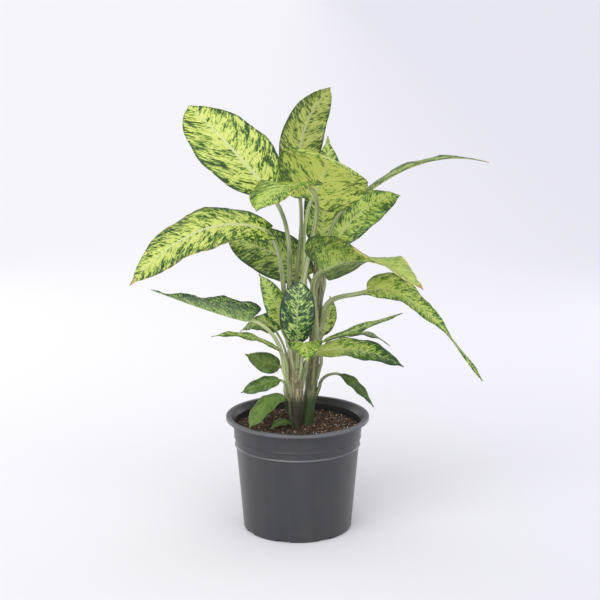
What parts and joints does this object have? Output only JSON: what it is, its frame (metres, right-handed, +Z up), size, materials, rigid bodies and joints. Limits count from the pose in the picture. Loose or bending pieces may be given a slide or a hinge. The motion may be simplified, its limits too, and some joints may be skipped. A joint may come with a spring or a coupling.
{
  "type": "potted dieffenbachia",
  "caption": "Leafy house plant with two upright canes and broad speckled green leaves on long stalks, standing in soil in a tapered round nursery pot with a flange rim.",
  "frame": {"origin": "centre of the pot's flat underside", "axes": "+Z up along the pot's axis, -Y to the plant's front, +X to its right as seen from the front"},
  "size_m": [0.4598, 0.2427, 0.5845],
  "materials": {
    "pot_plastic": "dark slate-grey moulded plastic with a soft sheen",
    "soil": "damp dark potting mix with bark crumbs and white perlite",
    "cane_tan": "olive-tan cane with leaf scars and dry streaks",
    "cane_green": "mottled green cane with leaf scars",
    "leaf_lime": "satin leaf, lime with green blotches along the veins",
    "leaf_green": "satin leaf, green with lime splashes",
    "leaf_dark": "satin leaf, dark green with few splashes"
  },
  "bodies": {
    "root": {"pot": "pot_plastic", "soil": "soil", "cane_left": "cane_tan", "cane_right": "cane_green", "leaf_high_left": "leaf_lime", "leaf_top": "leaf_lime", "leaf_over_crown": "leaf_lime", "leaf_forward_left": "leaf_green", "leaf_back_upright": "leaf_green", "leaf_back_right": "leaf_green", "leaf_far_right": "leaf_green", "leaf_drooping_left": "leaf_lime", "leaf_behind_left": "leaf_green", "leaf_young_left": "leaf_green", "leaf_young_front": "leaf_dark", "leaf_front_tongue": "leaf_green", "leaf_young_right": "leaf_green", "leaf_drooping_right": "leaf_green", "leaf_twisted_right": "leaf_green", "leaf_folded_left": "leaf_dark", "leaf_narrow_left": "leaf_green", "leaf_small_back_left": "leaf_green", "leaf_low_left": "leaf_green", "leaf_lower_left": "leaf_dark", "leaf_lowest_left": "leaf_green", "leaf_at_soil": "leaf_dark", "leaf_low_right": "leaf_dark", "leaf_mid_right": "leaf_green", "leaf_slim_right": "leaf_green", "leaf_arched_right": "leaf_green"}
  },
  "joints": []
}
